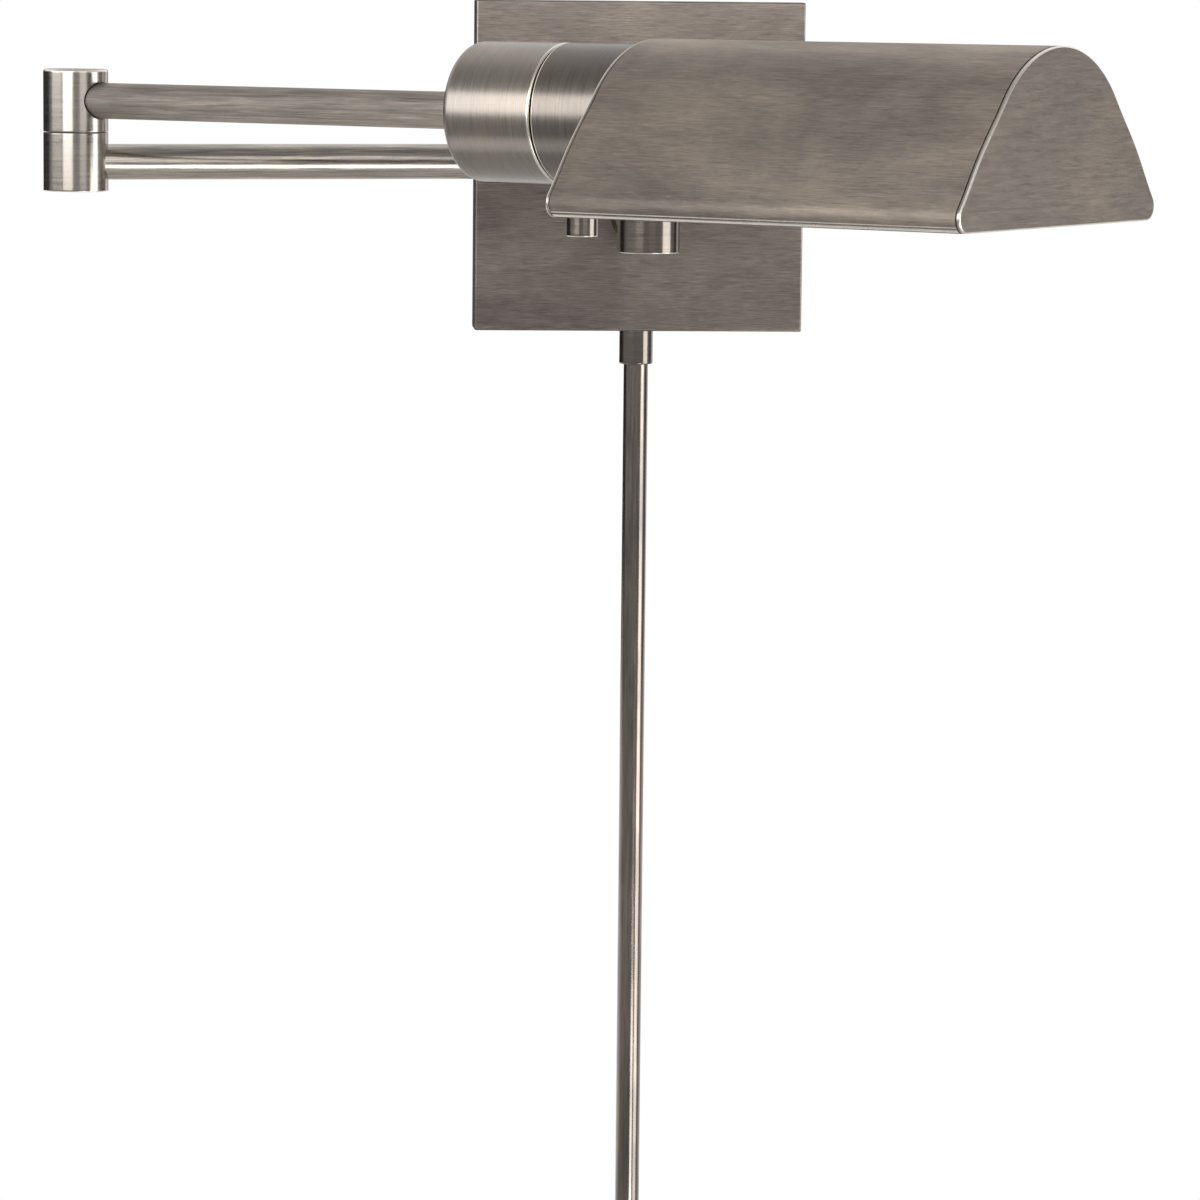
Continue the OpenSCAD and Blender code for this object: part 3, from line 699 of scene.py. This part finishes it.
def ferrule_and_tube():
    """Ferrule under the canopy and the long cord cover tube with its end bushing."""
    low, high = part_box("cord_cover_tube")
    place = axes(Vector(((low.x + high.x) / 2, (low.y + high.y) / 2, 0)), UP, RIGHT)
    tube_r = reach("cord_cover_tube", place)
    tube_bore = tube_r - CORD_TUBE_WALL
    low, high = span("rod_ferrule", place)
    r = reach("rod_ferrule", place)
    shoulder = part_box("canopy")[0].z
    socket_r = tube_r + CORD_TUBE_FIT
    socket_top = low + FERRULE_SOCKET
    outline = [(socket_r, low, FERRULE_MOUTH), (r, low, EDGE), (r, shoulder, FINE_EDGE)]
    outline += [(FERRULE_NECK_R, shoulder, 0), (FERRULE_NECK_R, high, FINE_EDGE)]
    outline += [(CORD_BORE_R, high, 0), (CORD_BORE_R, socket_top, 0), (socket_r, socket_top, 0)]
    turned_piece("rod_ferrule", place, outline, SHADED_FINE)
    low, high = span("cord_cover_tube", place)
    outline = sleeve(tube_bore, tube_r, low, high, FINE_EDGE, FINE_EDGE)
    turned_piece("cord_cover_tube", place, outline, ROD)
    foot, top = span("end_bushing", place)
    plug = tube_bore - PLUG_FIT
    outline = [(CORD_BORE_R, foot, BUSHING_BORE_EDGE), (tube_r, foot, BUSHING_EDGE), (tube_r, low, 0)]
    outline += [(plug, low, 0), (plug, top, FINE_EDGE), (CORD_BORE_R, top, FINE_EDGE)]
    turned_piece("end_bushing", place, outline, BLACK)


# Arms

ARM_WALL = 1.2 * MM
TOP_EDGE = 0.8 * MM
SEAM_EDGE = 0.18 * MM
CAP_FIT = 0.12 * MM
KNUCKLE_TRIM = 0.17 * MM
WELL_R = 6.2 * MM
HEAD_WELL = 3.5 * MM
NUT_WELL = 4.8 * MM
ARM_GROOVE = 0.4 * MM
ARM_GROOVE_START = 8.2 * MM

# A knuckle's pin bore against its pin's head
PIN_BORE = 8.4
PIN_HEAD = 12.0


def arm_tube(node, place, material):
    low, high = span(node, place)
    r = max(abs(p.x) for p in points_of(node, place))
    outline = sleeve(r - ARM_WALL, r, low, high, FINE_EDGE, FINE_EDGE)
    turned_piece(node, place, outline, material)
    return r


def knuckle(node, cap, place, pin, material, cap_below, arm_way, arm_height, arm_r):
    """Turned knuckle with a cap recess at one end, a pin bore, and a grooved hole round its arm."""
    low, high = span(node, place)
    r = reach(node, place)
    bore = reach(pin, place) * PIN_BORE / PIN_HEAD
    cap_low, cap_high = span(cap, place)
    cap_r = reach(cap, place)
    recess_r = cap_r + CAP_FIT
    if cap_below:
        face, edge, mate = low, FOOT_EDGE, high + KNUCKLE_TRIM
        inward, recess_at, well_at = low + FOOT_EDGE, cap_high, cap_high + HEAD_WELL
    else:
        face, edge, mate = high, TOP_EDGE, low - KNUCKLE_TRIM
        inward, recess_at, well_at = high - TOP_EDGE, cap_low, cap_low - NUT_WELL
    outline = [(bore, mate, 0), (r, mate, SEAM_EDGE), (r, face, edge), (recess_r, face, FINE_EDGE)]
    outline += [(recess_r, recess_at, 0), (WELL_R, recess_at, 0), (WELL_R, well_at, 0), (bore, well_at, 0)]
    cutter = lathe(rounded(sleeve(0, arm_r + ARM_GROOVE, ARM_GROOVE_START, 2 * r)), HOLE_STEPS)
    way = place.to_3x3().inverted() @ arm_way
    bmesh.ops.transform(cutter, matrix=axes(Vector((0, 0, arm_height)), way, UP), verts=cutter.verts)
    body = carve(lathe(rounded(outline)), cutter)
    # Rim of the end face: rubbed edge, painted lighter as a highlight
    highlight_rim = rim(min(face, inward), max(face, inward), r - edge)
    piece(node + "_look", body, place, material, highlight_rim)
    lid = sleeve(0, cap_r, cap_low, cap_high, FINE_EDGE, FINE_EDGE)
    turned_piece(cap, place, lid, CAP)


# Lamp head

HOUSING_WALL = 1.5 * MM
HOUSING_FIT = 0.03 * MM
HOUSING_HOLE_EDGE = 0.2 * MM
REAR_EDGE = 2.5 * MM
RIM_EDGE = 0.7 * MM
SEAM_TRIM = 0.2 * MM
SPIGOT_STEP = 3.7 * MM
FRONT_WALL = 2 * MM
SOCKET_FIT = 0.2 * MM
WASHER_TRIM = 0.8 * MM
WASHER_W = 4 * MM
WASHER_EDGE = 0.1 * MM


def spigot_r():
    """Radius of the front housing's spigot, which carries the shade."""
    return reach("front_housing", HEAD) - SPIGOT_STEP


def rear_housing():
    """Cup with a small rounded end round the arm."""
    low, high = span("rear_housing", HEAD)
    high += SEAM_TRIM
    r = reach("rear_housing", HEAD)
    hole = max(p.x for p in points_of("outer_arm_tube", HEAD)) + HOUSING_FIT
    wall = r - HOUSING_WALL
    floor_at = low + HOUSING_WALL
    outline = [(hole, low, HOUSING_HOLE_EDGE), (r, low, REAR_EDGE), (r, high, RIM_EDGE)]
    outline += [(wall, high, FINE_EDGE), (wall, floor_at, REAR_EDGE - HOUSING_WALL), (hole, floor_at, 0)]
    # Rim at the seam: rubbed edge, painted lighter as a highlight
    highlight_rim = rim(high - RIM_EDGE, high, r - RIM_EDGE)
    turned_piece("rear_housing", HEAD, outline, TURNED, highlight_rim)


def roll_washer():
    low, high = span("roll_washer", HEAD)
    r = reach("roll_washer", HEAD) - WASHER_TRIM
    outline = sleeve(r - WASHER_W, r, low, high, WASHER_EDGE, WASHER_EDGE)
    turned_piece("roll_washer", HEAD, outline, BLACK)


def front_housing():
    """Cup with a spigot that the shade stands on."""
    low, high = span("front_housing", HEAD)
    low -= SEAM_TRIM
    r = reach("front_housing", HEAD)
    step = span("shade_inner_end", HEAD)[0]
    wall = r - HOUSING_WALL
    spigot = spigot_r()
    bore = reach("socket_body", HEAD) + SOCKET_FIT
    floor_at = step - FRONT_WALL
    outline = [(wall, low, FINE_EDGE), (r, low, RIM_EDGE), (r, step, FINE_EDGE), (spigot, step, 0)]
    outline += [(spigot, high, FINE_EDGE), (bore, high, FINE_EDGE), (bore, floor_at, 0), (wall, floor_at, 0)]
    # Rim at the seam: rubbed edge, painted lighter as a highlight
    highlight_rim = rim(low, low + RIM_EDGE, r - RIM_EDGE)
    turned_piece("front_housing", HEAD, outline, FRONT, highlight_rim)


# Shade section, seen along the head's axis: x to the side, y up, from the axis
SHADE_TOP_R = 44 * MM
SHADE_LIP_R = 4.3 * MM
SHADE_LIP_W = 2.5 * MM
SHADE_T = 1.0 * MM
SHADE_BOW = 0.8 * MM
CREASE_AT = math.radians(-45)
CREASE_HALF = math.radians(5.5)
CREASE_DEPTH = 0.5 * MM
HEM_ABOVE = math.radians(6.5)
HEM_BELOW = math.radians(18)
HEM_SLOPE = 0.5
LIP_CENTRE = Vector((SHADE_HALF - SHADE_LIP_R, SHADE_LIP_R - SHADE_DROP))

# Steps of the section: its plain lip, the lip below, in and above the crease, its side and its top
LIP_STEPS = 16
LOW_LIP_STEPS = 7
CREASE_STEPS = 2
HIGH_LIP_STEPS = 14
SIDE_STEPS = 12
TOP_STEPS = 28

# Ends of the shade, its ring, and the holes for the spigot
END_GAP = 0.3 * MM
INNER_RIM = 0.5 * MM
OUTER_RIM = 0.58 * MM
SEAM_RIM = 0.2 * MM
SPIGOT_FIT = 0.03 * MM
CUT_PAST = 1 * MM
RING_FIT = 0.05 * MM
RING_EDGE = 0.6 * MM


def hem(centre, normal):
    """Test for the faces of the lip that border the crease, which get rubbed edges painted lighter as
    highlights.
    """
    out = Vector((abs(centre.x), centre.y)) - LIP_CENTRE
    turn = math.atan2(out.y, out.x) - CREASE_AT
    outside = out.length > SHADE_LIP_R - SHADE_T / 2
    above = CREASE_HALF < turn < CREASE_HALF + HEM_ABOVE
    below = -CREASE_HALF - HEM_BELOW < turn < -CREASE_HALF
    return outside and abs(normal.z) < HEM_SLOPE and (above or below)


def lip_arc(radius, last, crease):
    """Bend of the lip, with a crease along its lower half where asked."""
    first = -math.pi / 2
    if not crease:
        return arc(LIP_CENTRE, radius, first, last, LIP_STEPS)
    low = arc(LIP_CENTRE, radius, first, CREASE_AT - CREASE_HALF, LOW_LIP_STEPS)
    start, end = CREASE_AT - CREASE_HALF / 2, CREASE_AT + CREASE_HALF / 2
    cut = arc(LIP_CENTRE, radius - CREASE_DEPTH, start, end, CREASE_STEPS)
    return low + cut + arc(LIP_CENTRE, radius, CREASE_AT + CREASE_HALF, last, HIGH_LIP_STEPS)


def shade_side(inset, crease):
    """Right half of the section, from the foot of the lip to the ridge."""
    top_centre = Vector((0, SHADE_RISE - SHADE_TOP_R))
    between = LIP_CENTRE - top_centre
    tangent = math.acos((SHADE_TOP_R - SHADE_LIP_R) / between.length)
    angle = tangent + math.atan2(between.y, between.x)
    lip = lip_arc(SHADE_LIP_R - inset, angle, crease)
    top = arc(top_centre, SHADE_TOP_R - inset, angle, math.pi / 2, TOP_STEPS)
    run = top[0] - lip[-1]
    out = Vector((math.cos(angle), math.sin(angle)))
    shares = [k / SIDE_STEPS for k in range(1, SIDE_STEPS)]
    side = [lip[-1] + run * s + out * (SHADE_BOW * math.sin(math.pi * s) ** 2) for s in shares]
    return lip + side + top


def shade_outline(inset, crease=False):
    """Whole section from the right lip over the ridge to the left lip."""
    right = shade_side(inset, crease)
    return right + [Vector((-p.x, p.y)) for p in reversed(right[:-1])]


def at_height(points, height):
    return [(p.x, p.y, height) for p in points]


def shade_body():
    """Sheet bent over a round ridge, with its lower edges turned in and creased."""
    low, high = span("shade_body", HEAD)
    lip_x = SHADE_HALF - SHADE_LIP_R - SHADE_LIP_W
    outer = [Vector((lip_x, -SHADE_DROP)), *shade_outline(0, True), Vector((-lip_x, -SHADE_DROP))]
    foot = SHADE_T - SHADE_DROP
    inner = [Vector((lip_x, foot)), *shade_outline(SHADE_T), Vector((-lip_x, foot))]
    section = outer + inner[::-1]
    rings = [at_height(section, z) for z in (low + END_GAP, high - END_GAP)]
    piece("shade_body_look", loft(rings), HEAD, SHEET, hem)


def end_plate(node, low_rim, high_rim, hole_r=0):
    """Plate that closes one end of the shade, with rounded rims."""
    low, high = span(node, HEAD)
    turns = quarter_turns(RIM_STEPS)
    profile = [(low_rim * (1 - math.sin(t)), low + low_rim * (1 - math.cos(t))) for t in turns]
    profile += [(high_rim * (1 - math.cos(t)), high - high_rim * (1 - math.sin(t))) for t in turns]
    profile = [(low_rim + HOLD, low), *profile, (high_rim + HOLD, high)]
    bm = loft([at_height(shade_outline(inset), z) for inset, z in profile])
    # Rim of the outer face, or of the face round the hole where there is one: rubbed edge, painted lighter
    # as a highlight
    highlight_rim = rim(high - high_rim, high)
    if hole_r:
        bm = carve(bm, lathe(rounded(sleeve(0, hole_r, low - CUT_PAST, high + CUT_PAST))))
        highlight_rim = rim(low, low + low_rim)
    piece(node + "_look", bm, HEAD, END, highlight_rim)


def shade_ring():
    low, high = span("shade_ring", HEAD)
    r = reach("shade_ring", HEAD)
    bore = spigot_r() + RING_FIT
    outline = [(bore, low, 0), (r, low, FINE_EDGE), (r, high, RING_EDGE), (bore, high, FINE_EDGE)]
    turned_piece("shade_ring", HEAD, outline, CAP)


# Bulb and switch

BULB_NECK_R = 13 * MM
BULB_NECK_H = 3 * MM
BULB_NECK_BEND = 4 * MM
BULB_SHOULDER_H = 10 * MM
BULB_SHOULDER_BEND = 8 * MM
BULB_END_BEND = 0.98


def bulb():
    """Tubular bulb with a round end on its screw base."""
    low, high = span("bulb_glass", HEAD)
    r = reach("bulb_glass", HEAD)
    outline = [(0, low, 0), (BULB_NECK_R, low, EDGE)]
    outline += [(BULB_NECK_R, low + BULB_NECK_H, BULB_NECK_BEND)]
    outline += [(r, low + BULB_SHOULDER_H, BULB_SHOULDER_BEND)]
    outline += [(r, high, r * BULB_END_BEND), (0, high, 0)]
    turned_piece("bulb_glass", HEAD, outline, GLASS)


def switch_knob():
    """Turned knob of the switch under the front housing."""
    low, high = span("switch_knob", SWITCH_AXIS)
    r = reach("switch_knob", SWITCH_AXIS)
    outline = sleeve(0, r, low, high, FOOT_EDGE, FINE_EDGE)
    # Foot of the knob: rubbed edge, painted lighter as a highlight
    turned_piece("switch_knob", SWITCH_AXIS, outline, SHADED_FINE, edges=rim(low, low + FOOT_EDGE, r / 2))


def build():
    """Adds every piece that stands for a CAD node."""
    canopy()
    canopy_screws()
    stem()
    ferrule_and_tube()
    # The inner arm and the elbow are in lighter copies of their nickel, painted light; the hub is in a
    # darker copy, painted shade
    inner_r = arm_tube("inner_arm_tube", INNER, LIT_GLOSSY_TUBE)
    outer_r = arm_tube("outer_arm_tube", HEAD, TUBE)
    hub = (HUB_AXIS, "hub_pin", SHADED_FINE)
    elbow = (ELBOW_AXIS, "elbow_pin", LIT_BRIGHT)
    knuckle("hub_base", "hub_bottom_cap", *hub, True, -OUT, STEM_Z, STEM_R)
    knuckle("hub_knuckle", "hub_top_cap", *hub, False, INNER_WAY, HUB.z, inner_r)
    knuckle("elbow_lower", "elbow_bottom_cap", *elbow, True, -INNER_WAY, HUB.z, inner_r)
    knuckle("elbow_upper", "elbow_top_cap", *elbow, False, HEAD_WAY, ELBOW.z, outer_r)
    rear_housing()
    roll_washer()
    front_housing()
    shade_body()
    end_plate("shade_inner_end", INNER_RIM, SEAM_RIM, spigot_r() + SPIGOT_FIT)
    end_plate("shade_outer_end", SEAM_RIM, OUTER_RIM)
    shade_ring()
    bulb()
    switch_knob()


# CAD nodes that stay, with their materials

KEPT = {
    "crossbar": STEEL,
    "ground_screw": BRASS,
    "stem_washer": STEEL,
    "stem_nut": BRASS,
    "hub_pin": BRASS,
    "hub_washer": BLACK,
    "hub_pin_nut": BRASS,
    "ferrule_nut": BRASS,
    "elbow_pin": BRASS,
    "elbow_washer": BLACK,
    "elbow_pin_nut": BRASS,
    "arm_nut": BRASS,
    "bearing_plate": STEEL,
    "roll_nipple": BRASS,
    "roll_nut": BRASS,
    "turn_plate": STEEL,
    "socket_body": CERAMIC,
    "socket_shell": BRASS,
    "socket_contact": BRASS,
    "socket_screws": STEEL,
    "bulb_base": BRASS,
    "switch_body": BLACK,
    "switch_shaft": BRASS,
    "knob_set_screw": STEEL,
}


def dress_kept_nodes():
    for node, material in KEPT.items():
        materials = frame["nodes"][node].data.materials
        materials.clear()
        materials.append(material)


# Studio

WHITE = (1, 1, 1, 1)
MIDDLE = Vector((-0.03, -0.16, 0))

# Soft boxes: degrees right of straight ahead and above level, distance, width and height in metres,
# radiance, and the point that they are aimed at
LIGHTS = {
    "key_left": (-74, 13, 1.5, (1.0, 0.70), 2.1, MIDDLE),
    "low_left": (-85, -40, 1.8, (1.0, 0.50), 0.8, MIDDLE),
    "near_left": (-27, 13.3, 0.55, (0.36, 0.36), 3.4, ELBOW),
    "near_right": (28, 13.3, 0.55, (0.24, 0.36), 1.0, ELBOW),
    "panel_right": (70, -11, 1.4, (0.84, 0.9), 3.2, MIDDLE),
    "low_right": (27.5, -30, 2.1, (0.80, 0.74), 4.8, MIDDLE),
}

# Surround: its levels, and the parts of a unit direction over which they change
LOW_LEVEL = 0.40
HIGH_LEVEL = 0.60
TOP_LEVEL = 0.36
FILL_LEVEL = 0.42
FLAG_LEVEL = 0.05
HORIZON_AT = (-0.05, 0.15)
TOP_AT = (0.4, 0.8)
BACK_AT = (-0.1, 0.6)
LEFT_FLAG_AT = (0.30, 0.42)
RIGHT_FLAG_AT = (0.80, 0.90)
FLAG_BACK_AT = (0.0, 0.35)
FLAG_HEIGHT_AT = (0.15, 0.3)

# Floor: its place, paint and glow, and the distances over which the glow changes
FLOOR_Z = -1.45
FLOOR_HALF = 8
FLOOR_PAINT = (0.82, 0.82, 0.81, 1)
FLOOR_ROUGH = 0.9
NEAR_GLOW = 0.7
NEAR_GLOW_AT = (1.4, 2.6)
MIRROR_GLOW = 0.05
MIRROR_GLOW_AT = (0.0, 3.0)


def area_light(name, turn, lift, distance, size, radiance, about):
    a = math.radians(turn)
    e = math.radians(lift)
    way = Vector((math.sin(a) * math.cos(e), -math.cos(a) * math.cos(e), math.sin(e)))
    lamp = bpy.data.lights.new(name, "AREA")
    lamp.shape = "RECTANGLE"
    lamp.size, lamp.size_y = size
    lamp.energy = radiance * math.pi * size[0] * size[1]
    obj = bpy.data.objects.new(name, lamp)
    obj.location = about + way * distance
    obj.rotation_euler = (-way).to_track_quat("-Z", "Y").to_euler()
    obj.visible_camera = False
    bpy.context.scene.collection.objects.link(obj)


def mirror_rays(n, path):
    return n.maths("MAXIMUM", path.outputs["Is Glossy Ray"], path.outputs["Is Transmission Ray"])


def world():
    """White to the camera; in mirrors white behind, with dark flags at the sides, and grey in front."""
    w = bpy.data.worlds.new("studio")
    bpy.context.scene.world = w
    n = Nodes(w)
    path = n.add("ShaderNodeLightPath")
    where = n.add("ShaderNodeTexCoord").outputs["Generated"]
    x, y, z = n.add("ShaderNodeSeparateXYZ", [(0, where)]).outputs
    front = n.ease(z, *HORIZON_AT, LOW_LEVEL, HIGH_LEVEL)
    front = n.ease(z, *TOP_AT, front, TOP_LEVEL)
    around = n.ease(y, *BACK_AT, front, 1.0)
    left = n.ease(x, *LEFT_FLAG_AT, 1.0, 0.0)
    right = n.ease(x, *RIGHT_FLAG_AT, 0.0, 1.0)
    behind = n.level(y, *FLAG_BACK_AT, 0.0, 1.0)
    tall = n.ease(n.maths("ABSOLUTE", z, 0.0), *FLAG_HEIGHT_AT, 1.0, 0.0)
    flags = n.maths("MULTIPLY", n.maths("MAXIMUM", left, right), behind)
    around = n.level(n.maths("MULTIPLY", flags, tall), 0.0, 1.0, around, FLAG_LEVEL)
    strength = n.level(mirror_rays(n, path), 0.0, 1.0, FILL_LEVEL, around)
    strength = n.level(path.outputs["Is Camera Ray"], 0.0, 1.0, strength, 1.0)
    background = n.tree.nodes["Background"]
    n.put(background.inputs["Color"], WHITE)
    n.put(background.inputs["Strength"], strength)


def floor():
    """Pale floor, white in the distance, that keeps a soft shadow under the object."""
    bm = bmesh.new()
    bmesh.ops.create_grid(bm, x_segments=1, y_segments=1, size=FLOOR_HALF)
    mesh = bpy.data.meshes.new("floor")
    bm.to_mesh(mesh)
    bm.free()
    obj = bpy.data.objects.new("floor", mesh)
    obj.location = (0, 0, FLOOR_Z)
    bpy.context.scene.collection.objects.link(obj)
    n = Nodes(bpy.data.materials.new("floor_paint"))
    n.set(Base_Color=FLOOR_PAINT, Roughness=FLOOR_ROUGH)
    path = n.add("ShaderNodeLightPath")
    where = n.place()
    away = n.add("ShaderNodeVectorMath", [(0, where)], operation="LENGTH").outputs["Value"]
    back = n.add("ShaderNodeSeparateXYZ", [(0, where)]).outputs["Y"]
    near = n.level(away, *NEAR_GLOW_AT, NEAR_GLOW, 1.0)
    seen = n.maths("MULTIPLY", path.outputs["Is Camera Ray"], near)
    far = n.level(back, *MIRROR_GLOW_AT, MIRROR_GLOW, 1.0)
    mirrored = n.maths("MULTIPLY", mirror_rays(n, path), far)
    glow = n.add("ShaderNodeEmission", [("Color", WHITE), ("Strength", 1.0)])
    links = [(0, n.maths("MAXIMUM", seen, mirrored)), (1, n.shader.outputs[0]), (2, glow.outputs[0])]
    mixed = n.add("ShaderNodeMixShader", links)
    n.put(n.tree.nodes["Material Output"].inputs[0], mixed.outputs[0])
    mesh.materials.append(n.owner)


def lights():
    for name, values in LIGHTS.items():
        area_light(name, *values)


def camera():
    """Camera at the photograph's place, with the frame's square side as its sensor."""
    level = math.cos(CAMERA_DROP)
    sideways, ahead = math.sin(CAMERA_TURN) * level, math.cos(CAMERA_TURN) * level
    forward = Vector((sideways, ahead, -math.sin(CAMERA_DROP)))
    right = forward.cross(UP).normalized()
    up = right.cross(forward)
    tilted_right = right * math.cos(CAMERA_ROLL) + up * math.sin(CAMERA_ROLL)
    tilted_up = up * math.cos(CAMERA_ROLL) - right * math.sin(CAMERA_ROLL)
    middle_pixel = Vector((IMAGE_SIDE / 2, IMAGE_SIDE / 2))
    offset = (AIM_PIXEL - middle_pixel) * (CAMERA_DISTANCE / FOCAL_PIXELS)
    place = CAMERA_AIM - forward * CAMERA_DISTANCE - tilted_right * offset.x + tilted_up * offset.y
    data = bpy.data.cameras.new("camera")
    data.sensor_width = SENSOR
    data.lens = FOCAL_PIXELS * SENSOR / IMAGE_SIDE
    data.clip_end = CAMERA_REACH
    obj = bpy.data.objects.new("camera", data)
    turn = Matrix((tilted_right, tilted_up, -forward)).transposed().to_4x4()
    obj.matrix_world = Matrix.Translation(place) @ turn
    bpy.context.scene.collection.objects.link(obj)
    bpy.context.scene.camera = obj


build()
dress_kept_nodes()
world()
floor()
lights()
camera()
bpy.context.scene.view_settings.view_transform = "Standard"
